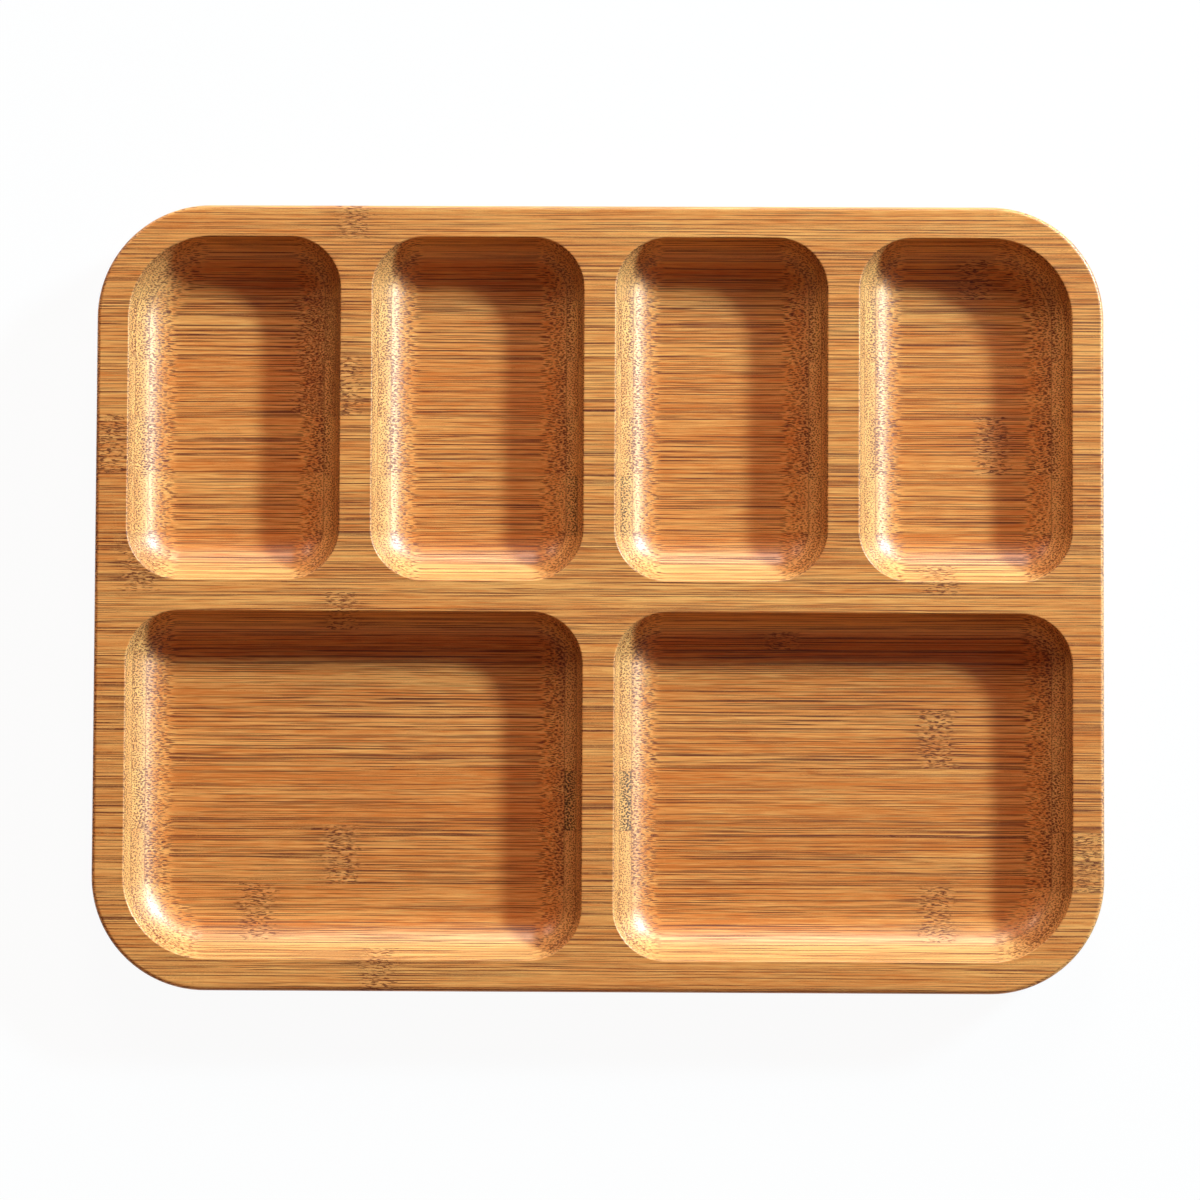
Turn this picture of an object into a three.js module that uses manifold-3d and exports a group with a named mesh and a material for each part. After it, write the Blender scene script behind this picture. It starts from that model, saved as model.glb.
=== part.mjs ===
// A divided serving board of laminated bamboo: six coved wells milled into a rounded blank.
// Millimetres, +Z up, +X along the strips, +Y towards the row of small wells.
// The origin is at the centre of the underside, so the board lies on z = 0.
import * as THREE from "three";
import { mergeVertices } from "three/addons/utils/BufferGeometryUtils.js";
import Module from "manifold-3d";

// The blank
const BOARD_LENGTH = 356;
const BOARD_WIDTH = 277.5;
const BOARD_THICKNESS = 20;
const BOARD_CORNER_RADIUS = 40;
const EDGE_ROUND = 1.5;

// The wells: a row of small ones towards +Y and a row of large ones towards -Y
const SMALL_WELLS = 4;
const LARGE_WELLS = 2;
const RIM_WIDTH = 11.3;
const DIVIDER_WIDTH = 11.4;
const SMALL_WELL_LENGTH = 121.4;
const WELL_DEPTH = 13.8;
const COVE_RADIUS = 18;
const FLOOR_CORNER_RADIUS = 0.8;

// The lamination: two courses of strips with glue between them. A strip at each rim and a wall strip beside
// it, two wall strips that meet under the row divider, and four strips across the middle of each row of wells.
const TOP_RIM_STRIP = 11.9;
const BOTTOM_RIM_STRIP = 14.8;
const WALL_STRIP = 20.9;
const DIVIDER_SEAM = 4.6;
const ROW_STRIPS = 4;
const BASE_STAGGER = 1.5;
const FACE_THICKNESS = 10;
const GLUE_LINE = 0.1;

// Facets in a quarter turn of a corner, a cove and an eased arris
const CORNER_STEPS = 8;
const COVE_STEPS = 7;
const EDGE_STEPS = 2;

// How far a cutting shape runs past the face that it cuts
const CUT_MARGIN = 5;

const wasm = await Module();
wasm.setup();

// A closed three.js geometry as a solid that can be cut.
function solidOf(geometry) {
  const bare = geometry.clone();
  bare.deleteAttribute("normal");
  bare.deleteAttribute("uv");
  const merged = mergeVertices(bare, 1e-4);
  return new wasm.Manifold(
    new wasm.Mesh({
      numProp: 3,
      vertProperties: new Float32Array(merged.attributes.position.array),
      triVerts: new Uint32Array(merged.index.array),
    }),
  );
}

// A solid as a geometry with flat facets.
function geometryOf(solid) {
  const mesh = solid.getMesh();
  const indexed = new THREE.BufferGeometry();
  indexed.setAttribute("position", new THREE.BufferAttribute(mesh.vertProperties, 3));
  indexed.setIndex(new THREE.BufferAttribute(mesh.triVerts, 1));
  const faceted = indexed.toNonIndexed();
  faceted.computeVertexNormals();
  return faceted;
}

// A rectangle whose four corners are rounded, each to its own radius.
function roundedRectangle({ left, right, bottom, top }, corners) {
  const shape = new THREE.Shape();
  const { bottomLeft, bottomRight, topRight, topLeft } = corners;
  shape.moveTo(left + bottomLeft, bottom);
  shape.lineTo(right - bottomRight, bottom);
  shape.absarc(right - bottomRight, bottom + bottomRight, bottomRight, -Math.PI / 2, 0);
  shape.lineTo(right, top - topRight);
  shape.absarc(right - topRight, top - topRight, topRight, 0, Math.PI / 2);
  shape.lineTo(left + topLeft, top);
  shape.absarc(left + topLeft, top - topLeft, topLeft, Math.PI / 2, Math.PI);
  shape.lineTo(left, bottom + bottomLeft);
  shape.absarc(left + bottomLeft, bottom + bottomLeft, bottomLeft, Math.PI, 1.5 * Math.PI);
  return shape;
}

// The blank: a rounded slab with its arrises eased above and below.
function blank() {
  const outline = {
    left: -BOARD_LENGTH / 2,
    right: BOARD_LENGTH / 2,
    bottom: -BOARD_WIDTH / 2,
    top: BOARD_WIDTH / 2,
  };
  const corners = {
    bottomLeft: BOARD_CORNER_RADIUS,
    bottomRight: BOARD_CORNER_RADIUS,
    topRight: BOARD_CORNER_RADIUS,
    topLeft: BOARD_CORNER_RADIUS,
  };
  const slab = new THREE.ExtrudeGeometry(roundedRectangle(outline, corners), {
    depth: BOARD_THICKNESS - 2 * EDGE_ROUND,
    curveSegments: CORNER_STEPS / 2,
    bevelThickness: EDGE_ROUND,
    bevelSize: EDGE_ROUND,
    bevelOffset: -EDGE_ROUND,
    bevelSegments: EDGE_STEPS,
  });
  slab.translate(0, 0, EDGE_ROUND);
  return solidOf(slab);
}

// How far the cove has run out from the edge of the floor at a height above the floor.
function coveRun(height) {
  return Math.sqrt(COVE_RADIUS ** 2 - (COVE_RADIUS - Math.min(height, COVE_RADIUS)) ** 2);
}
const COVE_REACH = coveRun(WELL_DEPTH);
const WELL_CORNER_RADIUS = COVE_REACH + FLOOR_CORNER_RADIUS;
const OUTER_WELL_CORNER_RADIUS = Math.max(BOARD_CORNER_RADIUS - RIM_WIDTH, WELL_CORNER_RADIUS);

// A row of wells side by side, each with its outline and its corner radii at the rim.
// The corners beside a corner of the board follow it, and the others are as tight as the bit allows.
function wellRow(count, bottom, top, outerSide) {
  const width = (BOARD_LENGTH - 2 * RIM_WIDTH - (count - 1) * DIVIDER_WIDTH) / count;
  const wells = [];
  for (let i = 0; i < count; i++) {
    const left = -BOARD_LENGTH / 2 + RIM_WIDTH + i * (width + DIVIDER_WIDTH);
    const radius = (side, end) =>
      side === outerSide && i === end ? OUTER_WELL_CORNER_RADIUS : WELL_CORNER_RADIUS;
    const corners = {
      bottomLeft: radius("bottom", 0),
      bottomRight: radius("bottom", count - 1),
      topRight: radius("top", count - 1),
      topLeft: radius("top", 0),
    };
    wells.push({ left, right: left + width, bottom, top, corners });
  }
  return wells;
}
const SMALL_TOP = BOARD_WIDTH / 2 - RIM_WIDTH;
const SMALL_BOTTOM = SMALL_TOP - SMALL_WELL_LENGTH;
const LARGE_TOP = SMALL_BOTTOM - DIVIDER_WIDTH;
const LARGE_BOTTOM = -BOARD_WIDTH / 2 + RIM_WIDTH;
const ROWS = [
  wellRow(SMALL_WELLS, SMALL_BOTTOM, SMALL_TOP, "top"),
  wellRow(LARGE_WELLS, LARGE_BOTTOM, LARGE_TOP, "bottom"),
];

// The space that the bowl bit clears for one well: a flat floor inside a round cove.
// The cove's circle runs on above the rim, so the outline there is a little wider than the well.
function wellCut({ left, right, bottom, top, corners }) {
  const overshoot = COVE_RADIUS - COVE_REACH;
  const outline = {
    left: left - overshoot,
    right: right + overshoot,
    bottom: bottom - overshoot,
    top: top + overshoot,
  };
  const wider = Object.fromEntries(
    Object.entries(corners).map(([corner, radius]) => [corner, radius + overshoot]),
  );
  const cut = new THREE.ExtrudeGeometry(roundedRectangle(outline, wider), {
    depth: Math.max(WELL_DEPTH - COVE_RADIUS, 0) + CUT_MARGIN,
    curveSegments: CORNER_STEPS / 2,
    bevelThickness: COVE_RADIUS,
    bevelSize: COVE_RADIUS,
    bevelOffset: -COVE_RADIUS,
    bevelSegments: COVE_STEPS,
  });
  cut.translate(0, 0, BOARD_THICKNESS - WELL_DEPTH + COVE_RADIUS);
  return solidOf(cut);
}

// The milled board, before it is parted along its glue lines.
let board = blank();
for (const well of ROWS.flat()) board = board.subtract(wellCut(well));

// The seams on either side of the strips across the middle of a row of wells, which share it evenly.
function rowSeams(first, last) {
  return Array.from({ length: ROW_STRIPS + 1 }, (_, i) => first + ((last - first) * i) / ROW_STRIPS);
}

// The middle of each glue line of the face course, from the +Y edge to the -Y edge. The seam under the row
// divider runs a set distance below the small wells.
const TOP_SEAM = BOARD_WIDTH / 2 - TOP_RIM_STRIP;
const MIDDLE_SEAM = SMALL_BOTTOM - DIVIDER_SEAM;
const BOTTOM_SEAM = -BOARD_WIDTH / 2 + BOTTOM_RIM_STRIP;
const FACE_SEAMS = [
  TOP_SEAM,
  ...rowSeams(TOP_SEAM - WALL_STRIP, MIDDLE_SEAM + WALL_STRIP),
  MIDDLE_SEAM,
  ...rowSeams(MIDDLE_SEAM - WALL_STRIP, BOTTOM_SEAM + WALL_STRIP),
  BOTTOM_SEAM,
];
const BASE_SEAMS = FACE_SEAMS.map((seam) => seam + BASE_STAGGER);

// The span of each strip between the seams of a course, with a glue line between neighbours. The outermost
// spans run past the edges of the board.
function stripSpans(seams) {
  const edge = BOARD_WIDTH / 2;
  const tops = [edge + CUT_MARGIN, ...seams.map((seam) => seam - GLUE_LINE / 2)];
  const bottoms = [...seams.map((seam) => seam + GLUE_LINE / 2), -edge - CUT_MARGIN];
  return tops.map((top, strip) => ({ top, bottom: bottoms[strip] }));
}

// The part of the milled board that lies in one strip's own space.
function stripSolid({ top, bottom }, low, high, left, right) {
  const space = new THREE.BoxGeometry(right - left, top - bottom, high - low);
  space.translate((left + right) / 2, (top + bottom) / 2, (low + high) / 2);
  return board.intersect(solidOf(space));
}

const LEFT_END = -BOARD_LENGTH / 2 - CUT_MARGIN;
const RIGHT_END = BOARD_LENGTH / 2 + CUT_MARGIN;
const COURSE_JOINT = BOARD_THICKNESS - FACE_THICKNESS;

// The wells that part a strip of the face course into blocks, if a row of them does. At the foot of this
// course a well is narrower than at the rim, by how far its cove still reaches in there.
function wellsThrough(span) {
  if (WELL_DEPTH <= FACE_THICKNESS) return [];
  const reach = COVE_REACH - coveRun(WELL_DEPTH - FACE_THICKNESS + GLUE_LINE / 2);
  const parts = (row) => span.top < row[0].top - reach && span.bottom > row[0].bottom + reach;
  return ROWS.find(parts) ?? [];
}

// The names of the blocks that a row of wells leaves, from left to right.
function blockNames(wells) {
  const dividers = wells.slice(1).map((_, i) => (wells.length > 2 ? `divider_${i + 1}` : "divider"));
  return ["left_rim", ...dividers, "right_rim"];
}

// Bamboo steamed to a honey brown and oiled, each strip a little lighter or darker.
const STRIP_TONES = ["#c98a4b", "#d39a5c", "#bf7f42", "#cf9253"];
function bamboo(strip) {
  return new THREE.MeshStandardMaterial({
    color: STRIP_TONES[strip % STRIP_TONES.length],
    roughness: 0.45,
    metalness: 0,
  });
}

const servingBoard = new THREE.Group();

function addPiece(name, solid, strip) {
  const piece = new THREE.Mesh(geometryOf(solid), bamboo(strip));
  piece.name = name;
  servingBoard.add(piece);
}

// The base course: whole strips with the floors of the wells milled into them.
stripSpans(BASE_SEAMS).forEach((span, strip) => {
  const name = `base_strip_${String(strip + 1).padStart(2, "0")}`;
  const solid = stripSolid(span, -CUT_MARGIN, COURSE_JOINT - GLUE_LINE / 2, LEFT_END, RIGHT_END);
  addPiece(name, solid, strip);
});

// The face course: whole strips at the rims and the row divider, and blocks between the wells.
stripSpans(FACE_SEAMS).forEach((span, strip) => {
  const name = `face_strip_${String(strip + 1).padStart(2, "0")}`;
  const low = COURSE_JOINT + GLUE_LINE / 2;
  const high = BOARD_THICKNESS + CUT_MARGIN;
  const wells = wellsThrough(span);
  if (wells.length === 0) {
    addPiece(name, stripSolid(span, low, high, LEFT_END, RIGHT_END), strip);
    return;
  }
  const middles = wells.map((well) => (well.left + well.right) / 2);
  const ends = [LEFT_END, ...middles, RIGHT_END];
  blockNames(wells).forEach((block, i) => {
    addPiece(`${name}_${block}`, stripSolid(span, low, high, ends[i], ends[i + 1]), strip);
  });
});

export default servingBoard;
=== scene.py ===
import math

import bmesh
import bpy
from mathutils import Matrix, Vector


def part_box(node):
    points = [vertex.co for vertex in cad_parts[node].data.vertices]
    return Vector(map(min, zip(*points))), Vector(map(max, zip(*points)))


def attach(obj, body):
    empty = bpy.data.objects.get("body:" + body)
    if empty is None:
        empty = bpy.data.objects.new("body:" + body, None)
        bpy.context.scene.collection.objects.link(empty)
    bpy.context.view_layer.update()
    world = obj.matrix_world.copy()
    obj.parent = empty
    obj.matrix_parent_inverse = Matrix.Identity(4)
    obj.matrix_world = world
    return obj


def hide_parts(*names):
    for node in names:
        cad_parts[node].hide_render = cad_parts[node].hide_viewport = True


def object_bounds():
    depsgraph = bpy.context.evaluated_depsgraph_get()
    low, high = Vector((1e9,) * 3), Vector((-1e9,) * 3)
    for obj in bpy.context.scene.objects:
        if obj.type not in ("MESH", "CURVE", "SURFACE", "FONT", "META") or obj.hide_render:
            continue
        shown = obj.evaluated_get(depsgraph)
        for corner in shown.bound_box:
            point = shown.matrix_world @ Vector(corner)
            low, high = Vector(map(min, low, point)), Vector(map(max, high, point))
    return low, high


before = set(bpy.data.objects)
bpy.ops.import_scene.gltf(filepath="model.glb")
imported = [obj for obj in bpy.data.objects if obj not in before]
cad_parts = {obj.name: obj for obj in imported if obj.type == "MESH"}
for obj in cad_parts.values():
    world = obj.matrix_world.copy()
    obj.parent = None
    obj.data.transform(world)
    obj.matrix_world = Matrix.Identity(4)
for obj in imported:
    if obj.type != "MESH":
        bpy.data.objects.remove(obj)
cad_low, cad_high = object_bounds()

# The camera
# A long lens looks almost straight down on the board from about 1.35 m, as in a table-top product shot,
# and a little from the side of the large wells.
MM = 0.001
CAMERA_PLACE = Vector((14.0, -65.5, 1368.4)) * MM
CAMERA_TURN = (2.742, 0.560, 0.264)
CAMERA_LENS = 114.95
SENSOR_WIDTH = 36
camera_data = bpy.data.cameras.new("camera")
camera_data.sensor_width = SENSOR_WIDTH
camera_data.lens = CAMERA_LENS
camera = bpy.data.objects.new("camera", camera_data)
camera.location = CAMERA_PLACE
camera.rotation_euler = [math.radians(angle) for angle in CAMERA_TURN]
bpy.context.scene.collection.objects.link(camera)
bpy.context.scene.camera = camera

# The bamboo
# Strips split from bamboo culms, steamed brown right through, glued, milled, sanded and oiled to a satin.
# Their fibre bundles run along the board: fine dark lines on the flats, and dots where a wall cuts them.
# A culm's knuckle shows as a band of short tangled dashes.
GROUND_LIGHT = "#ffbb6a"
GROUND_DARK = "#da7a34"
BUNDLE_COLOUR = "#6c2900"
SKIN_BUNDLE_COLOUR = "#3c1a00"
KNUCKLE_COLOUR = "#f6c384"
GLUE_COLOUR = "#7a3d16"
# A pale cream painted on the milled walls as a highlight.
PAINTED_WALL_HIGHLIGHT_COLOUR = "#ffd28a"
PLY_THICKNESS = 5.0
BOARD_PLIES = 4
PLY_STEP_BACK = 0.01
GLUE_LINE = 0.16
CULM_SPREAD = 700.0
# Each kind of bundle: spacing, radius and visible length in mm, how dark it is, and its share on end grain.
# Real bundles are about half as far apart on the skin side. They are drawn coarser, so that they show.
BUNDLES = ((0.7, 0.19, 42.0, 1.0, 1.0), (0.45, 0.13, 28.0, 0.95, 0.45))
BUNDLE_TALLNESS = 1.35
DASH_LENGTH = 2.6
DASH_GAP = 0.38
# Each kind of streak in the ground: length and width in mm, and its share.
STREAKS = ((170.0, 6.0, 0.3), (40.0, 0.8, 0.3), (9.0, 0.4, 0.4))


def linear(hex_colour):
    """An sRGB hex colour as linear red, green, blue and alpha."""
    channels = [int(hex_colour[i : i + 2], 16) / 255 for i in (1, 3, 5)]
    return (*[c / 12.92 if c <= 0.04045 else ((c + 0.055) / 1.055) ** 2.4 for c in channels], 1.0)


def add_node(tree, kind, inputs=None, **settings):
    """Adds a node with its settings, sets or links its inputs, and gives its outputs."""
    made = tree.nodes.new(kind)
    for name, value in settings.items():
        setattr(made, name, value)
    for socket, value in (inputs or {}).items():
        for each in value if isinstance(value, list) else [value]:
            if isinstance(each, bpy.types.NodeSocket):
                tree.links.new(each, made.inputs[socket])
            else:
                made.inputs[socket].default_value = each
    return made.outputs


bamboo = bpy.data.materials.new("oiled_bamboo")
bamboo.use_nodes = True
tree = bamboo.node_tree
tree.nodes.clear()

# Millimetres along the strip, across it and up, the number of the ply and the way up through it.
place = add_node(tree, "ShaderNodeTexCoord")["Object"]
place = add_node(tree, "ShaderNodeVectorMath", {0: place, "Scale": 1 / MM}, operation="SCALE")[0]
axes = add_node(tree, "ShaderNodeSeparateXYZ", {0: place})
level = add_node(tree, "ShaderNodeMath", {0: axes["Z"], 1: PLY_STEP_BACK}, operation="SUBTRACT")[0]
level = add_node(tree, "ShaderNodeMath", {0: level, 1: PLY_THICKNESS}, operation="DIVIDE")[0]
level = add_node(tree, "ShaderNodeMath", {0: level, 1: 0.0}, operation="MAXIMUM")[0]
ply = add_node(tree, "ShaderNodeMath", {0: level}, operation="FLOOR")[0]
ply_share = add_node(tree, "ShaderNodeMath", {0: level}, operation="FRACT")[0]

# Every strip of every ply comes from another culm, so each has its own grain, tone and way up.
strip = add_node(tree, "ShaderNodeAttribute", attribute_name="strip")["Fac"]
culm = add_node(tree, "ShaderNodeCombineXYZ", {"X": strip, "Y": ply})[0]
chance = add_node(tree, "ShaderNodeTexWhiteNoise", {"Vector": culm}, noise_dimensions="3D")
chances = add_node(tree, "ShaderNodeSeparateXYZ", {0: chance["Color"]})
shift = add_node(
    tree, "ShaderNodeVectorMath", {0: chance["Color"], "Scale": CULM_SPREAD}, operation="SCALE"
)[0]
grain = add_node(tree, "ShaderNodeVectorMath", {0: place, 1: shift}, operation="ADD")[0]
turned = add_node(tree, "ShaderNodeMath", {0: chances["X"]}, operation="ROUND")[0]
skin_side = add_node(tree, "ShaderNodeMath", {0: ply_share, 1: turned}, operation="SUBTRACT")[0]
skin_side = add_node(tree, "ShaderNodeMath", {0: skin_side}, operation="ABSOLUTE")[0]

# The bundles wander a little on their way along the strip.
NOISE_MIDDLE = (0.5, 0.5, 0.5)
WANDER_LENGTH = 130.0
WANDER_WIDTH = 14.0
WANDER_SWAY = (0.0, 1.5, 1.5)
wander_scale = (1 / WANDER_LENGTH, 1 / WANDER_WIDTH, 1 / WANDER_WIDTH)
wander = add_node(tree, "ShaderNodeVectorMath", {0: grain, 1: wander_scale}, operation="MULTIPLY")[0]
wander = add_node(tree, "ShaderNodeTexNoise", {"Vector": wander, "Scale": 1.0, "Detail": 3.0})["Color"]
wander = add_node(tree, "ShaderNodeVectorMath", {0: wander, 1: NOISE_MIDDLE}, operation="SUBTRACT")[0]
wander = add_node(tree, "ShaderNodeVectorMath", {0: wander, 1: WANDER_SWAY}, operation="MULTIPLY")[0]
grain = add_node(tree, "ShaderNodeVectorMath", {0: grain, 1: wander}, operation="ADD")[0]

# The band of a knuckle, with ragged ends: full within one distance of its middle, and gone past another.
KNUCKLE_FULL = 4.0
KNUCKLE_GONE = 7.0
RAGGED_SIZES = (8.0, 0.9, 2.0)
RAGGED_REACH = 11.0
KNUCKLE_PARTING = 0.5
knuckle_places = add_node(tree, "ShaderNodeAttribute", attribute_name="knuckles")["Vector"]
knuckle_places = add_node(tree, "ShaderNodeSeparateXYZ", {0: knuckle_places})
aways = []
for axis in ("X", "Y"):
    away = add_node(tree, "ShaderNodeMath", {0: axes["X"], 1: knuckle_places[axis]}, operation="SUBTRACT")[0]
    aways.append(add_node(tree, "ShaderNodeMath", {0: away}, operation="ABSOLUTE")[0])
away = add_node(tree, "ShaderNodeMath", {0: aways[0], 1: aways[1]}, operation="MINIMUM")[0]
ragged_scale = tuple(1 / size for size in RAGGED_SIZES)
ragged = add_node(tree, "ShaderNodeVectorMath", {0: grain, 1: ragged_scale}, operation="MULTIPLY")[0]
ragged = add_node(tree, "ShaderNodeTexNoise", {"Vector": ragged, "Scale": 1.0, "Detail": 1.0})["Fac"]
ragged = add_node(
    tree,
    "ShaderNodeMath",
    {0: ragged, 1: RAGGED_REACH, 2: -RAGGED_REACH / 2},
    operation="MULTIPLY_ADD",
)[0]
away = add_node(tree, "ShaderNodeMath", {0: away, 1: ragged}, operation="ADD")[0]
knuckle = add_node(
    tree,
    "ShaderNodeMapRange",
    {"Value": away, "From Min": KNUCKLE_GONE, "From Max": KNUCKLE_FULL},
    interpolation_type="SMOOTHSTEP",
)[0]

# In the band the bundles part, cross and break up into dashes. Pale and dark dashes: where the noise starts
# to show them, where they are full, and how strong they are.
TANGLE_SIZES = (6.0, 3.0, 3.0)
TANGLE_SWAY = (0.0, 1.6, 1.6)
PALE_DASHES = (0.54, 0.62, 0.15)
DARK_DASHES = (0.49, 0.42, 0.9)
tangle_scale = tuple(1 / size for size in TANGLE_SIZES)
tangle = add_node(tree, "ShaderNodeVectorMath", {0: grain, 1: tangle_scale}, operation="MULTIPLY")[0]
tangle = add_node(tree, "ShaderNodeTexNoise", {"Vector": tangle, "Scale": 1.0, "Detail": 1.0})["Color"]
tangle = add_node(tree, "ShaderNodeVectorMath", {0: tangle, 1: NOISE_MIDDLE}, operation="SUBTRACT")[0]
tangle = add_node(tree, "ShaderNodeVectorMath", {0: tangle, 1: TANGLE_SWAY}, operation="MULTIPLY")[0]
tangled = add_node(tree, "ShaderNodeVectorMath", {0: grain, 1: tangle}, operation="ADD")[0]
dashes = add_node(
    tree,
    "ShaderNodeVectorMath",
    {0: tangled, 1: (1 / DASH_LENGTH, 1 / DASH_GAP, 1 / DASH_GAP)},
    operation="MULTIPLY",
)[0]
dashes = add_node(tree, "ShaderNodeTexNoise", {"Vector": dashes, "Scale": 1.0, "Detail": 1.0})["Fac"]
dash_kinds = []
for dash_start, dash_full, dash_strength in (PALE_DASHES, DARK_DASHES):
    kind = add_node(
        tree,
        "ShaderNodeMapRange",
        {"Value": dashes, "From Min": dash_start, "From Max": dash_full, "To Max": dash_strength},
        interpolation_type="SMOOTHSTEP",
    )[0]
    dash_kinds.append(kind)
pale_dashes, dark_dashes = dash_kinds

# Bundles lie close together near the culm's skin and far apart near its hollow, still more so in end grain,
# and they crowd at a knuckle. A face's tilt tells a milled wall from a flat, and end grain from long grain.
HALF_PLY = 0.5
HOLLOW_CROWDING = 0.86
SKIN_CROWDING = 0.12
END_SKIN_CROWDING = 0.5
DARK_PLY_CROWDING = 0.25
CULM_CROWDING = 0.2
FRINGE_START = 18.0
FRINGE_FULL = 5.0
FRINGE_CROWDING = 0.2
LEVEL_FACE = 0.96
WALL_FACE = 0.7
SIDE_FACE = 0.2
END_FACE = 0.6
END_SHARE = 0.9
crowding = add_node(
    tree,
    "ShaderNodeMath",
    {0: skin_side, 1: SKIN_CROWDING, 2: HOLLOW_CROWDING},
    operation="MULTIPLY_ADD",
)[0]
fringe = add_node(
    tree,
    "ShaderNodeMapRange",
    {"Value": away, "From Min": FRINGE_START, "From Max": FRINGE_FULL, "To Max": FRINGE_CROWDING},
    interpolation_type="SMOOTHSTEP",
)[0]
crowding = add_node(tree, "ShaderNodeMath", {0: crowding, 1: fringe}, operation="ADD")[0]
facing = add_node(tree, "ShaderNodeNewGeometry")["Normal"]
facing = add_node(tree, "ShaderNodeVectorMath", {0: facing}, operation="ABSOLUTE")[0]
facing = add_node(tree, "ShaderNodeSeparateXYZ", {0: facing})
cut = add_node(
    tree,
    "ShaderNodeMapRange",
    {"Value": facing["Z"], "From Min": LEVEL_FACE, "From Max": WALL_FACE},
    interpolation_type="SMOOTHSTEP",
)[0]
end_grain = add_node(
    tree,
    "ShaderNodeMapRange",
    {"Value": facing["X"], "From Min": SIDE_FACE, "From Max": END_FACE, "To Max": END_SHARE},
    interpolation_type="SMOOTHSTEP",
)[0]
dark_ply = add_node(tree, "ShaderNodeAttribute", attribute_name="dark_ply")["Fac"]
dark_ply = add_node(tree, "ShaderNodeMath", {0: ply, 1: dark_ply, 2: HALF_PLY}, operation="COMPARE")[0]
dots = add_node(tree, "ShaderNodeMath", {0: skin_side, 1: END_SKIN_CROWDING}, operation="MULTIPLY")[0]
dots = add_node(
    tree, "ShaderNodeMath", {0: dark_ply, 1: DARK_PLY_CROWDING, 2: dots}, operation="MULTIPLY_ADD"
)[0]
crowding = add_node(
    tree, "ShaderNodeMath", {0: end_grain, 1: dots, 2: crowding}, operation="MULTIPLY_ADD"
)[0]
spread = add_node(
    tree,
    "ShaderNodeMath",
    {0: chances["Y"], 1: CULM_CROWDING, 2: -CULM_CROWDING / 2},
    operation="MULTIPLY_ADD",
)[0]
crowding = add_node(tree, "ShaderNodeMath", {0: crowding, 1: spread}, operation="ADD")[0]

# Each bundle is a rod along the strip, soft at its edge, and noise along it makes it fade in and out.
BUNDLE_EDGE = 1.15
BUNDLE_CORE = 0.8
BUNDLE_SHIFT = 900.0
FADED = 0.4
UNFADED = 0.54
FADED_SHARE = 0.22
bundle_shape = (1, 1, 1 / BUNDLE_TALLNESS)
across = add_node(tree, "ShaderNodeVectorMath", {0: grain, 1: bundle_shape}, operation="MULTIPLY")[0]
across = add_node(tree, "ShaderNodeSeparateXYZ", {0: across})
bundles = None
for gap, radius, length, depth, end_share in BUNDLES:
    cells = add_node(tree, "ShaderNodeCombineXYZ", {"X": across["Y"], "Y": across["Z"]})[0]
    cells = add_node(
        tree, "ShaderNodeTexVoronoi", {"Vector": cells, "Scale": 1 / gap}, voronoi_dimensions="2D"
    )
    nearness = add_node(tree, "ShaderNodeMath", {0: cells["Distance"], 1: crowding}, operation="DIVIDE")[0]
    bundle = add_node(
        tree,
        "ShaderNodeMapRange",
        {
            "Value": nearness,
            "From Min": BUNDLE_EDGE * radius / gap,
            "From Max": BUNDLE_CORE * radius / gap,
            "To Max": depth,
        },
        interpolation_type="SMOOTHSTEP",
    )[0]
    along = add_node(
        tree, "ShaderNodeVectorMath", {0: cells["Color"], "Scale": BUNDLE_SHIFT}, operation="SCALE"
    )[0]
    stretch = add_node(tree, "ShaderNodeMath", {0: across["X"], 1: length}, operation="DIVIDE")[0]
    stretch = add_node(tree, "ShaderNodeCombineXYZ", {"X": stretch})[0]
    along = add_node(tree, "ShaderNodeVectorMath", {0: along, 1: stretch}, operation="ADD")[0]
    along = add_node(tree, "ShaderNodeTexNoise", {"Vector": along, "Scale": 1.0, "Detail": 1.0})["Fac"]
    along = add_node(
        tree,
        "ShaderNodeMapRange",
        {"Value": along, "From Min": FADED, "From Max": UNFADED, "To Min": FADED_SHARE},
        interpolation_type="SMOOTHSTEP",
    )[0]
    along = add_node(tree, "ShaderNodeMix", {0: end_grain, 2: along, 3: end_share})[0]
    bundle = add_node(tree, "ShaderNodeMath", {0: bundle, 1: along}, operation="MULTIPLY")[0]
    if bundles is None:
        bundles = bundle
    else:
        bundles = add_node(
            tree, "ShaderNodeMath", {0: bundles, 1: bundle}, operation="ADD", use_clamp=True
        )[0]
dashes = add_node(tree, "ShaderNodeMath", {0: knuckle, 1: dark_dashes}, operation="MULTIPLY")[0]
parted = add_node(
    tree, "ShaderNodeMath", {0: knuckle, 1: -KNUCKLE_PARTING, 2: 1.0}, operation="MULTIPLY_ADD"
)[0]
fibres = add_node(
    tree, "ShaderNodeMath", {0: bundles, 1: parted, 2: dashes}, operation="MULTIPLY_ADD", use_clamp=True
)[0]

# The ground between them: broad and fine streaks, and a tone for each strip. The two lowest plies, the upper
# of which makes the floors of the wells, are toned a little darker than the plies above them as painted
# shade.
FLOOR_PLY = 1.0
FLOOR_PAINTED_SHADE_TONE = -0.08
RIM_TONE = -0.045
CULM_TONE = 0.05
GROUND_DARKEST = 0.37
GROUND_LIGHTEST = 0.62
streaks = None
for length, gap, share in STREAKS:
    streak = add_node(
        tree, "ShaderNodeVectorMath", {0: grain, 1: (1 / length, 1 / gap, 1 / gap)}, operation="MULTIPLY"
    )[0]
    streak = add_node(tree, "ShaderNodeTexNoise", {"Vector": streak, "Scale": 1.0, "Detail": 3.0})["Fac"]
    streak = add_node(tree, "ShaderNodeMath", {0: streak, 1: share}, operation="MULTIPLY")[0]
    if streaks is None:
        streaks = streak
    else:
        streaks = add_node(tree, "ShaderNodeMath", {0: streaks, 1: streak}, operation="ADD")[0]
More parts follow.
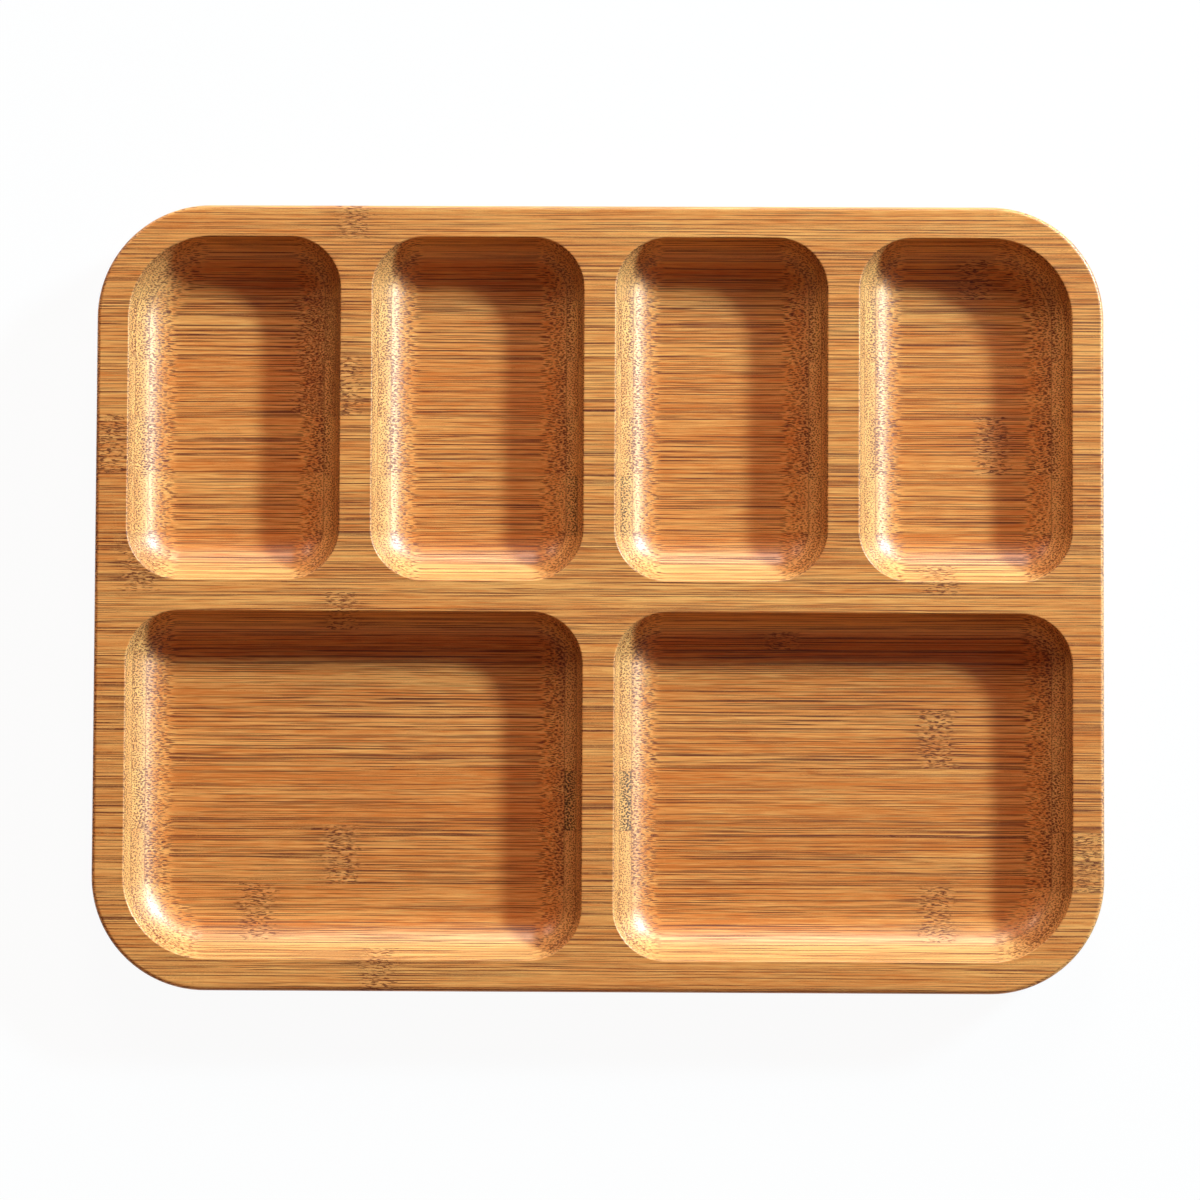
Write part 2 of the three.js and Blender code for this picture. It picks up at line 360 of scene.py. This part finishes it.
# Painted shade: the floor plies get a darker tone than the plies above.
tone = add_node(
    tree,
    "ShaderNodeMapRange",
    {
        "Value": ply,
        "From Min": FLOOR_PLY,
        "From Max": FLOOR_PLY + 1,
        "To Min": FLOOR_PAINTED_SHADE_TONE,
        "To Max": RIM_TONE,
    },
)[0]
tone = add_node(
    tree, "ShaderNodeMath", {0: chance["Value"], 1: CULM_TONE, 2: tone}, operation="MULTIPLY_ADD"
)[0]
ground = add_node(tree, "ShaderNodeMath", {0: streaks, 1: tone}, operation="ADD")[0]
ground = add_node(
    tree,
    "ShaderNodeMapRange",
    {"Value": ground, "From Min": GROUND_DARKEST, "From Max": GROUND_LIGHTEST},
)[0]
colour = add_node(
    tree,
    "ShaderNodeMix",
    {0: ground, 6: linear(GROUND_DARK), 7: linear(GROUND_LIGHT)},
    data_type="RGBA",
)[2]

# The bowl bit cuts the walls across the growth. Painted highlight: the ground on every milled wall is mixed
# towards a pale cream, standing in for the washed-out look of the walls in the key light.
PAINTED_WALL_HIGHLIGHT_SHARE = 0.25
painted_wall_highlight = add_node(tree, "ShaderNodeMath", {0: cut, 1: PAINTED_WALL_HIGHLIGHT_SHARE}, operation="MULTIPLY")[0]
colour = add_node(tree, "ShaderNodeMix", {0: painted_wall_highlight, 6: colour, 7: linear(PAINTED_WALL_HIGHLIGHT_COLOUR)}, data_type="RGBA")[2]
pale = add_node(tree, "ShaderNodeMath", {0: knuckle, 1: pale_dashes}, operation="MULTIPLY")[0]
colour = add_node(tree, "ShaderNodeMix", {0: pale, 6: colour, 7: linear(KNUCKLE_COLOUR)}, data_type="RGBA")[2]
fibre_colour = add_node(
    tree,
    "ShaderNodeMix",
    {0: dark_ply, 6: linear(BUNDLE_COLOUR), 7: linear(SKIN_BUNDLE_COLOUR)},
    data_type="RGBA",
)[2]
colour = add_node(tree, "ShaderNodeMix", {0: fibres, 6: colour, 7: fibre_colour}, data_type="RGBA")[2]

# The glue lines: down both sides of each strip, and between the plies where a wall cuts them.
SEAM_CORE = 0.4
SEAM_SHARE = 0.3
PLY_SEAM_EDGE = 1.5
PLY_SEAM_CORE = 0.5
PLY_SEAM_SHARE = 0.55
seams = add_node(tree, "ShaderNodeAttribute", attribute_name="seams")["Vector"]
seams = add_node(tree, "ShaderNodeSeparateXYZ", {0: seams})
edges = []
for axis in ("X", "Y"):
    edge = add_node(tree, "ShaderNodeMath", {0: axes["Y"], 1: seams[axis]}, operation="SUBTRACT")[0]
    edges.append(add_node(tree, "ShaderNodeMath", {0: edge}, operation="ABSOLUTE")[0])
edge = add_node(tree, "ShaderNodeMath", {0: edges[0], 1: edges[1]}, operation="MINIMUM")[0]
glue = add_node(
    tree,
    "ShaderNodeMapRange",
    {"Value": edge, "From Min": GLUE_LINE, "From Max": SEAM_CORE * GLUE_LINE, "To Max": SEAM_SHARE},
    interpolation_type="SMOOTHSTEP",
)[0]
glue_share = GLUE_LINE / PLY_THICKNESS
ply_edge = add_node(
    tree, "ShaderNodeClamp", {"Value": level, "Min": HALF_PLY, "Max": BOARD_PLIES - HALF_PLY}
)[0]
ply_edge = add_node(tree, "ShaderNodeMath", {0: ply_edge, 1: HALF_PLY}, operation="PINGPONG")[0]
ply_glue = add_node(
    tree,
    "ShaderNodeMapRange",
    {"Value": ply_edge, "From Min": PLY_SEAM_EDGE * glue_share, "From Max": PLY_SEAM_CORE * glue_share},
    interpolation_type="SMOOTHSTEP",
)[0]
ply_glue = add_node(tree, "ShaderNodeMath", {0: ply_glue, 1: cut}, operation="MULTIPLY")[0]
ply_glue = add_node(tree, "ShaderNodeMath", {0: ply_glue, 1: PLY_SEAM_SHARE}, operation="MULTIPLY")[0]
glue = add_node(tree, "ShaderNodeMath", {0: glue, 1: ply_glue}, operation="MAXIMUM")[0]
colour = add_node(tree, "ShaderNodeMix", {0: glue, 6: colour, 7: linear(GLUE_COLOUR)}, data_type="RGBA")[2]

# A bundle's cut end and the pores beside it are a little rougher and lower than the ground.
BUNDLE_SINK = 0.05 * MM
SINK_STRENGTH = 0.3
GROUND_ROUGHNESS = 0.33
BUNDLE_ROUGHNESS = 0.5
OILED_IOR = 1.48
height = add_node(tree, "ShaderNodeMath", {0: 1.0, 1: fibres}, operation="SUBTRACT")[0]
bump = add_node(
    tree, "ShaderNodeBump", {"Strength": SINK_STRENGTH, "Distance": BUNDLE_SINK, "Height": height}
)[0]
gloss = add_node(
    tree,
    "ShaderNodeMapRange",
    {"Value": fibres, "To Min": GROUND_ROUGHNESS, "To Max": BUNDLE_ROUGHNESS},
)[0]
finish = add_node(
    tree,
    "ShaderNodeBsdfPrincipled",
    {
        "Base Color": colour,
        "Roughness": gloss,
        "IOR": OILED_IOR,
        "Normal": bump,
    },
)[0]
add_node(tree, "ShaderNodeOutputMaterial", {"Surface": finish})

# The milled blank
# A slab of laminated bamboo, cut to a rounded outline and eased along its edges with a router. A bowl bit
# then clears the wells: it leaves a flat floor, a round cove up to the rim, and a rim rubbed smooth.
BOARD_LENGTH, BOARD_WIDTH, BOARD_THICKNESS = cad_high - cad_low
BOARD_CORNER = 40 * MM
EDGE_ROUND = 1.5 * MM
RIM_WIDTH = 11.3 * MM
DIVIDER_WIDTH = 11.4 * MM
SMALL_WELL_LENGTH = 121.4 * MM
WELL_DEPTH = 13.8 * MM
COVE_RADIUS = 18 * MM
RIM_ARRIS = 0.6 * MM
FLOOR_CORNER = 0.8 * MM
LEVEL_MARGIN = 0.5 * MM
WELD_DISTANCE = 0.002 * MM
SMALL_WELLS = 4
LARGE_WELLS = 2

# The cove meets the rim at this lean from the level, and runs this far in from it to the floor.
wall_lean = math.acos(1 - WELL_DEPTH / COVE_RADIUS)
cove_reach = COVE_RADIUS * math.sin(wall_lean)
small_pitch = (BOARD_LENGTH - 2 * RIM_WIDTH + DIVIDER_WIDTH) / SMALL_WELLS
large_pitch = (BOARD_LENGTH - 2 * RIM_WIDTH + DIVIDER_WIDTH) / LARGE_WELLS
large_well_length = BOARD_WIDTH - 2 * RIM_WIDTH - DIVIDER_WIDTH - SMALL_WELL_LENGTH
first_edge = -BOARD_LENGTH / 2 + RIM_WIDTH - DIVIDER_WIDTH / 2
small_middle = BOARD_WIDTH / 2 - RIM_WIDTH - SMALL_WELL_LENGTH / 2
large_middle = -BOARD_WIDTH / 2 + RIM_WIDTH + large_well_length / 2
blank_sizes = {
    "Length": BOARD_LENGTH,
    "Width": BOARD_WIDTH,
    "Thickness": BOARD_THICKNESS,
    "Corner Radius": BOARD_CORNER,
    "Corner Steps": 28,
    "Edge Round": EDGE_ROUND,
    "Edge Steps": 6,
    "Edge Top": (-EDGE_ROUND, 0, 0),
    "Edge Side Top": (0, 0, 0),
    "Edge Side Bottom": (0, BOARD_THICKNESS, 0),
    "Edge Bottom": (-EDGE_ROUND, BOARD_THICKNESS, 0),
    "Well Depth": WELL_DEPTH,
    "Rim Top": (RIM_ARRIS * math.tan(wall_lean / 2), 0, 0),
    "Rim Corner": (0, 0, 0),
    "Cove Corner": (-WELL_DEPTH / math.tan(wall_lean), WELL_DEPTH, 0),
    "Floor Edge": (-cove_reach, WELL_DEPTH, 0),
    "Rim Arris": RIM_ARRIS,
    "Arris Steps": 5,
    "Cove Radius": COVE_RADIUS - RIM_ARRIS,
    "Cove Steps": 36,
    "Well Corner": cove_reach + FLOOR_CORNER,
    "Outer Well Corner": BOARD_CORNER - RIM_WIDTH,
    "Outer Corner X": BOARD_LENGTH / 2 - 2 * RIM_WIDTH,
    "Outer Corner Y": BOARD_WIDTH / 2 - 2 * RIM_WIDTH,
    "Small Count": SMALL_WELLS,
    "Small First": (first_edge + small_pitch / 2, small_middle, 0),
    "Small Pitch": (small_pitch, 0, 0),
    "Small Width": small_pitch - DIVIDER_WIDTH,
    "Small Length": SMALL_WELL_LENGTH,
    "Large Count": LARGE_WELLS,
    "Large First": (first_edge + large_pitch / 2, large_middle, 0),
    "Large Pitch": (large_pitch, 0, 0),
    "Large Width": large_pitch - DIVIDER_WIDTH,
    "Large Length": large_well_length,
}
SOCKET_KINDS = {int: "NodeSocketInt", float: "NodeSocketFloat", tuple: "NodeSocketVector"}

blank_tree = bpy.data.node_groups.new("milled_blank", "GeometryNodeTree")
blank_tree.interface.new_socket("Board", in_out="OUTPUT", socket_type="NodeSocketGeometry")
blank_sockets = {}
for size_name, size in blank_sizes.items():
    blank_sockets[size_name] = blank_tree.interface.new_socket(
        size_name, in_out="INPUT", socket_type=SOCKET_KINDS[type(size)]
    )
given = add_node(blank_tree, "NodeGroupInput")

# The router's path round the board, and the eased edge that it leaves, from the top face to the underside.
outline = add_node(
    blank_tree,
    "GeometryNodeCurvePrimitiveQuadrilateral",
    {"Width": given["Length"], "Height": given["Width"]},
)[0]
outline = add_node(
    blank_tree,
    "GeometryNodeFilletCurve",
    {"Curve": outline, "Count": given["Corner Steps"], "Radius": given["Corner Radius"]},
    mode="POLY",
)[0]
edge_profile = add_node(
    blank_tree,
    "GeometryNodeCurvePrimitiveQuadrilateral",
    {
        "Point 1": given["Edge Top"],
        "Point 2": given["Edge Side Top"],
        "Point 3": given["Edge Side Bottom"],
        "Point 4": given["Edge Bottom"],
    },
    mode="POINTS",
)[0]
edge_profile = add_node(
    blank_tree, "GeometryNodeSetSplineCyclic", {"Geometry": edge_profile, "Cyclic": False}
)[0]
edge_profile = add_node(
    blank_tree,
    "GeometryNodeFilletCurve",
    {"Curve": edge_profile, "Count": given["Edge Steps"], "Radius": given["Edge Round"]},
    mode="POLY",
)[0]

# The outlines of the wells: two rows of rectangles. The corners beside a corner of the board follow it,
# and the others are as tight as the bowl bit allows.
rows = []
for row in ("Small", "Large"):
    places = add_node(
        blank_tree,
        "GeometryNodeMeshLine",
        {
            "Count": given[f"{row} Count"],
            "Start Location": given[f"{row} First"],
            "Offset": given[f"{row} Pitch"],
        },
    )[0]
    well = add_node(
        blank_tree,
        "GeometryNodeCurvePrimitiveQuadrilateral",
        {"Width": given[f"{row} Width"], "Height": given[f"{row} Length"]},
    )[0]
    wells = add_node(blank_tree, "GeometryNodeInstanceOnPoints", {"Points": places, "Instance": well})[0]
    rows.append(add_node(blank_tree, "GeometryNodeRealizeInstances", {"Geometry": wells})[0])
wells = add_node(blank_tree, "GeometryNodeJoinGeometry", {"Geometry": rows})[0]
corner = add_node(blank_tree, "GeometryNodeInputPosition")[0]
corner = add_node(blank_tree, "ShaderNodeVectorMath", {0: corner}, operation="ABSOLUTE")[0]
corner = add_node(blank_tree, "ShaderNodeSeparateXYZ", {0: corner})
at_end = add_node(blank_tree, "FunctionNodeCompare", {"A": corner["X"], "B": given["Outer Corner X"]})[0]
at_side = add_node(blank_tree, "FunctionNodeCompare", {"A": corner["Y"], "B": given["Outer Corner Y"]})[0]
at_corner = add_node(blank_tree, "FunctionNodeBooleanMath", {0: at_end, 1: at_side})[0]
corner_radius = add_node(
    blank_tree,
    "GeometryNodeSwitch",
    {"Switch": at_corner, "False": given["Well Corner"], "True": given["Outer Well Corner"]},
    input_type="FLOAT",
)[0]
wells = add_node(
    blank_tree,
    "GeometryNodeFilletCurve",
    {"Curve": wells, "Count": given["Corner Steps"], "Radius": corner_radius},
    mode="POLY",
)[0]

# The bowl bit's cut, from the top face over the rubbed rim and down the cove to the edge of the floor.
cut_profile = add_node(
    blank_tree,
    "GeometryNodeCurvePrimitiveQuadrilateral",
    {
        "Point 1": given["Rim Top"],
        "Point 2": given["Rim Corner"],
        "Point 3": given["Cove Corner"],
        "Point 4": given["Floor Edge"],
    },
    mode="POINTS",
)[0]
cut_profile = add_node(
    blank_tree, "GeometryNodeSetSplineCyclic", {"Geometry": cut_profile, "Cyclic": False}
)[0]
profile_point = add_node(blank_tree, "GeometryNodeInputIndex")[0]
at_rim = add_node(
    blank_tree, "FunctionNodeCompare", {2: profile_point, 3: 1}, data_type="INT", operation="EQUAL"
)[0]
profile_radius = add_node(
    blank_tree,
    "GeometryNodeSwitch",
    {"Switch": at_rim, "False": given["Cove Radius"], "True": given["Rim Arris"]},
    input_type="FLOAT",
)[0]
profile_steps = add_node(
    blank_tree,
    "GeometryNodeSwitch",
    {"Switch": at_rim, "False": given["Cove Steps"], "True": given["Arris Steps"]},
    input_type="INT",
)[0]
cut_profile = add_node(
    blank_tree,
    "GeometryNodeFilletCurve",
    {"Curve": cut_profile, "Count": profile_steps, "Radius": profile_radius},
    mode="POLY",
)[0]

# Both cuts swept along their paths, with the top face on the level of the paths.
sweeps = []
for path, profile in ((outline, edge_profile), (wells, cut_profile)):
    path = add_node(blank_tree, "GeometryNodeSetCurveNormal", {"Curve": path}, mode="Z_UP")[0]
    sweep = add_node(blank_tree, "GeometryNodeCurveToMesh", {"Curve": path, "Profile Curve": profile})[0]
    sweeps.append(sweep)
walls = add_node(blank_tree, "GeometryNodeJoinGeometry", {"Geometry": sweeps})[0]

# The flat faces close the walls: the top face round the wells, the floors, and the underside.
edge_faces = add_node(blank_tree, "GeometryNodeInputMeshEdgeNeighbors")[0]
is_open = add_node(
    blank_tree, "FunctionNodeCompare", {2: edge_faces, 3: 1}, data_type="INT", operation="EQUAL"
)[0]
edge_place = add_node(blank_tree, "GeometryNodeInputPosition")[0]
edge_height = add_node(blank_tree, "ShaderNodeSeparateXYZ", {0: edge_place})["Z"]
flats = []
for face_depth in (None, given["Well Depth"], given["Thickness"]):
    level = 0.0
    if face_depth:
        level = add_node(blank_tree, "ShaderNodeMath", {0: face_depth, 1: -1.0}, operation="MULTIPLY")[0]
    on_level = add_node(
        blank_tree,
        "FunctionNodeCompare",
        {"A": edge_height, "B": level, "Epsilon": LEVEL_MARGIN},
        operation="EQUAL",
    )[0]
    here = add_node(blank_tree, "FunctionNodeBooleanMath", {0: is_open, 1: on_level})[0]
    loops = add_node(blank_tree, "GeometryNodeMeshToCurve", {"Mesh": walls, "Selection": here})[0]
    flat = add_node(blank_tree, "GeometryNodeFillCurve", {"Curve": loops})[0]
    lift = add_node(blank_tree, "ShaderNodeCombineXYZ", {"Z": level})[0]
    flats.append(add_node(blank_tree, "GeometryNodeTransform", {"Geometry": flat, "Translation": lift})[0])
board = add_node(blank_tree, "GeometryNodeJoinGeometry", {"Geometry": [walls, *flats]})[0]
lift = add_node(blank_tree, "ShaderNodeCombineXYZ", {"Z": given["Thickness"]})[0]
board = add_node(blank_tree, "GeometryNodeTransform", {"Geometry": board, "Translation": lift})[0]
board = add_node(
    blank_tree, "GeometryNodeMergeByDistance", {"Geometry": board, "Distance": WELD_DISTANCE}
)[0]
board = add_node(blank_tree, "GeometryNodeRealizeInstances", {"Geometry": board})[0]
board = add_node(blank_tree, "GeometryNodeSetMaterial", {"Geometry": board, "Material": bamboo})[0]
add_node(blank_tree, "NodeGroupOutput", {0: board})

blank_object = bpy.data.objects.new("milled_blank", bpy.data.meshes.new("milled_blank"))
bpy.context.scene.collection.objects.link(blank_object)
milling = blank_object.modifiers.new("milling", "NODES")
milling.node_group = blank_tree
for size_name, size in blank_sizes.items():
    milling[blank_sockets[size_name].identifier] = size
milled = blank_object.evaluated_get(bpy.context.evaluated_depsgraph_get())
blank_mesh = bpy.data.meshes.new_from_object(milled)
bpy.data.objects.remove(blank_object)

# The base course
# Fourteen strips side by side, each as long as the board and glued to its neighbours. The bowl bit mills the
# floors of the wells into them, so their upper ply shows on every floor.
NO_KNUCKLE = 9999.0
FLAT = 0.99999
GLUE_CLOSING = 0.045 * MM
SAW_MARGIN = 0.0001 * MM
NO_SEAM = 9999.0
SHARP_ANGLE = math.radians(30)
NO_DARK_PLY = -1
# The blocks that have a ply with its dark skin side in the wall, and the number of that ply from below.
DARK_PLIES = {"face_strip_06_divider_2": 2, "face_strip_11_divider": 2}
BASE_KNUCKLES = {
    "base_strip_02": (134.0,),
    "base_strip_03": (-103.0,),
    "base_strip_04": (-103.0,),
    "base_strip_05": (140.0,),
    "base_strip_08": (65.0,),
    "base_strip_10": (120.0,),
    "base_strip_12": (-91.0,),
    "base_strip_13": (-121.0, 120.0),
}


def saw_strip(low, high):
    """The milled blank between two corners, parted across its width and its thickness. The cuts almost
    meet in the middle of the glue line, so that no light comes through."""
    strip = bmesh.new()
    strip.from_mesh(blank_mesh)
    cuts = []
    for axis in ("y", "z"):
        for corner, edge, side in ((low, cad_low, -1), (high, cad_high, 1)):
            place = getattr(corner, axis) + side * GLUE_CLOSING
            if abs(place - getattr(edge, axis)) > EDGE_ROUND:
                outward = Vector((0, 0, 0))
                setattr(outward, axis, side)
                middle = Vector((0, 0, 0))
                setattr(middle, axis, place)
                cuts.append((middle, outward))
    for middle, outward in cuts:
        whole = strip.verts[:] + strip.edges[:] + strip.faces[:]
        parted = bmesh.ops.bisect_plane(
            strip, geom=whole, dist=SAW_MARGIN, plane_co=middle, plane_no=outward, clear_outer=True
        )
        sawn = [e for e in parted["geom_cut"] if isinstance(e, bmesh.types.BMEdge)]
        bmesh.ops.edgeloop_fill(strip, edges=sawn)
    bmesh.ops.recalc_face_normals(strip, faces=strip.faces)
    return strip


def place_piece(node, strip, number, knuckles):
    """The part of a strip in one node's own box, as a piece that stands for that node."""
    low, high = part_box(node)
    piece = strip.copy()
    apart = [v for v in piece.verts if not low.x - MM < v.co.x < high.x + MM]
    bmesh.ops.delete(piece, geom=apart, context="VERTS")
    for face in piece.faces:
        face.smooth = True
    for edge in piece.edges:
        normals = [face.normal for face in edge.link_faces]
        flats = [abs(normal.z) > FLAT for normal in normals]
        edge.smooth = edge.calc_face_angle(0) < SHARP_ANGLE and flats[0] == flats[-1]
    mesh = bpy.data.meshes.new("milled_" + node)
    piece.to_mesh(mesh)
    piece.free()
    count = len(mesh.vertices)
    mesh.attributes.new("strip", "FLOAT", "POINT").data.foreach_set("value", [number] * count)
    places = (list(knuckles) + [NO_KNUCKLE] * 3)[:3]
    mesh.attributes.new("knuckles", "FLOAT_VECTOR", "POINT").data.foreach_set("vector", places * count)
    sides = []
    for corner, edge in ((low, cad_low), (high, cad_high)):
        glued = abs(corner.y - edge.y) > EDGE_ROUND
        sides.append(corner.y / MM if glued else NO_SEAM)
    seams = (sides + [0.0]) * count
    mesh.attributes.new("seams", "FLOAT_VECTOR", "POINT").data.foreach_set("vector", seams)
    dark_ply = DARK_PLIES.get(node, NO_DARK_PLY)
    mesh.attributes.new("dark_ply", "FLOAT", "POINT").data.foreach_set("value", [dark_ply] * count)
    mesh.materials.append(bamboo)
    made = bpy.data.objects.new("milled_" + node, mesh)
    bpy.context.scene.collection.objects.link(made)
    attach(made, "root")
    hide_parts(node)
    return made


base_nodes = sorted(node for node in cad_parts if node.startswith("base_strip"))
for number, node in enumerate(base_nodes):
    strip = saw_strip(*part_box(node))
    place_piece(node, strip, number, BASE_KNUCKLES.get(node, ()))
    strip.free()

# The face course
# Fourteen strips glued on the base course. The wells go right through it, so only the strips at the rims and
# at the row divider stay whole, and the others are left as short blocks between the wells.
FACE_KNUCKLES = {
    "face_strip_01": (-87.0,),
    "face_strip_03": (-97.0,),
    "face_strip_04": (-90.0,),
    "face_strip_05": (-173.0,),
    "face_strip_07": (-162.0, 120.0),
    "face_strip_08": (-91.0,),
    "face_strip_12": (172.0,),
    "face_strip_14": (-77.0,),
}
FACE_NAME = len("face_strip_00")
face_nodes = sorted(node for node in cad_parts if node.startswith("face_strip"))
for number, name in enumerate(sorted({node[:FACE_NAME] for node in face_nodes})):
    blocks = [node for node in face_nodes if node.startswith(name)]
    strip = saw_strip(*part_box(blocks[0]))
    for node in blocks:
        knuckles = FACE_KNUCKLES.get(name, ())
        place_piece(node, strip, len(base_nodes) + number, knuckles)
    strip.free()

# The floor
# A plain white table top. It is white to the camera, with a trace of the board's shadow, and clear from
# below, so that the underside can be seen.
FLOOR_RADIUS = 8.0
FLOOR_SIDES = 64
FLOOR_DROP = 0.1 * MM
TABLE_COLOUR = "#f4f4f4"
WHITE = "#ffffff"
WHITE_SHARE = 0.95
floor_mesh = bpy.data.meshes.new("floor")
table = bmesh.new()
bmesh.ops.create_circle(table, cap_ends=True, segments=FLOOR_SIDES, radius=FLOOR_RADIUS)
table.to_mesh(floor_mesh)
table.free()
floor = bpy.data.objects.new("floor", floor_mesh)
floor.location.z = -FLOOR_DROP
bpy.context.scene.collection.objects.link(floor)
white_table = bpy.data.materials.new("white_table")
white_table.use_nodes = True
tree = white_table.node_tree
tree.nodes.clear()
matt = add_node(tree, "ShaderNodeBsdfDiffuse", {"Color": linear(TABLE_COLOUR)})[0]
glow = add_node(tree, "ShaderNodeEmission", {"Color": linear(WHITE), "Strength": 1.0})[0]
ray = add_node(tree, "ShaderNodeLightPath")
seen = add_node(
    tree, "ShaderNodeMath", {0: ray["Is Camera Ray"], 1: ray["Is Glossy Ray"]}, operation="ADD"
)[0]
seen = add_node(
    tree, "ShaderNodeMath", {0: seen, 1: ray["Is Transmission Ray"]}, operation="ADD", use_clamp=True
)[0]
share = add_node(tree, "ShaderNodeMath", {0: seen, 1: WHITE_SHARE}, operation="MULTIPLY")[0]
top = add_node(tree, "ShaderNodeMixShader", {0: share, 1: matt, 2: glow})[0]
clear = add_node(tree, "ShaderNodeBsdfTransparent")[0]
below = add_node(tree, "ShaderNodeNewGeometry")["Backfacing"]
shown = add_node(tree, "ShaderNodeMixShader", {0: below, 1: top, 2: clear})[0]
add_node(tree, "ShaderNodeOutputMaterial", {"Surface": shown})
floor_mesh.materials.append(white_table)

# The light
# A cool key low on the right, a tall soft box at the far side, a dim warm card at the near side and a warm
# fill from above. Three more lamps show only as glints in the oil. The studio is white to the camera, and
# in reflections it has dim walls and a dark ceiling.
LAMPS = {
    # colour, place, width, height and power, each facing the middle of the board
    "key": ("#c4ecff", (3.5, 2.27, 1.66), 0.81, 0.31, 404.0),
    "top": ("#fff3e4", (0.1, 2.2, 1.15), 0.8, 1.0, 43.0),
    "streak": ("#ffe8cc", (2.0, 0.22, 1.06), 0.5, 0.12, 30.0),
    "glint": ("#fff2e4", (1.7, 1.33, 1.06), 2.7, 0.14, 112.0),
    "card": ("#ffb478", (0.0, -2.0, 0.62), 3.0, 0.3, 4.0),
    "spot": ("#fff2e4", (-1.5, 1.6, 1.1), 0.3, 0.2, 10.0),
}
REFLECTED_ONLY = ("streak", "glint", "spot")
FILL_COLOUR = "#ffbd96"
FILL_FROM = Vector((0.1, 0.3, 0.95)).normalized()
FILL_FOCUS = 6.0
FILL_EVEN = 0.05
FILL_ABOVE = 0.42
CEILING = 0.06
WALL = 0.14
WALL_TOP = 0.5
WALL_FULL = 0.35
for lamp_name, (lamp_colour, lamp_place, lamp_width, lamp_height, lamp_power) in LAMPS.items():
    lamp_data = bpy.data.lights.new(lamp_name, "AREA")
    lamp_data.shape = "RECTANGLE"
    lamp_data.size = lamp_width
    lamp_data.size_y = lamp_height
    lamp_data.energy = lamp_power
    lamp_data.color = linear(lamp_colour)[:3]
    lamp = bpy.data.objects.new(lamp_name, lamp_data)
    lamp.location = lamp_place
    lamp.rotation_euler = Vector(lamp_place).to_track_quat("Z", "Y").to_euler()
    lamp.visible_diffuse = lamp_name not in REFLECTED_ONLY
    bpy.context.scene.collection.objects.link(lamp)
world = bpy.data.worlds.new("studio")
bpy.context.scene.world = world
world.use_nodes = True
tree = world.node_tree
tree.nodes.clear()
way = add_node(tree, "ShaderNodeTexCoord")["Generated"]
above = add_node(tree, "ShaderNodeVectorMath", {0: way, 1: FILL_FROM}, operation="DOT_PRODUCT")["Value"]
above = add_node(tree, "ShaderNodeMath", {0: above, 1: 0.0}, operation="MAXIMUM")[0]
above = add_node(tree, "ShaderNodeMath", {0: above, 1: FILL_FOCUS}, operation="POWER")[0]
above = add_node(
    tree, "ShaderNodeMath", {0: above, 1: FILL_ABOVE, 2: FILL_EVEN}, operation="MULTIPLY_ADD"
)[0]
fill = add_node(tree, "ShaderNodeBackground", {"Color": linear(FILL_COLOUR), "Strength": above})[0]
height = add_node(tree, "ShaderNodeSeparateXYZ", {0: way})["Z"]
wall = add_node(
    tree,
    "ShaderNodeMapRange",
    {"Value": height, "From Min": WALL_TOP, "From Max": WALL_FULL},
)[0]
wall = add_node(
    tree, "ShaderNodeMath", {0: wall, 1: WALL - CEILING, 2: CEILING}, operation="MULTIPLY_ADD"
)[0]
room = add_node(tree, "ShaderNodeBackground", {"Color": linear(WHITE), "Strength": wall})[0]
white = add_node(tree, "ShaderNodeBackground", {"Color": linear(WHITE), "Strength": 1.0})[0]
ray = add_node(tree, "ShaderNodeLightPath")
mirrored = add_node(
    tree, "ShaderNodeMath", {0: ray["Is Glossy Ray"], 1: ray["Is Transmission Ray"]}, operation="MAXIMUM"
)[0]
studio = add_node(tree, "ShaderNodeMixShader", {0: mirrored, 1: fill, 2: room})[0]
studio = add_node(tree, "ShaderNodeMixShader", {0: ray["Is Camera Ray"], 1: studio, 2: white})[0]
add_node(tree, "ShaderNodeOutputWorld", {"Surface": studio})
bpy.context.scene.view_settings.view_transform = "Standard"
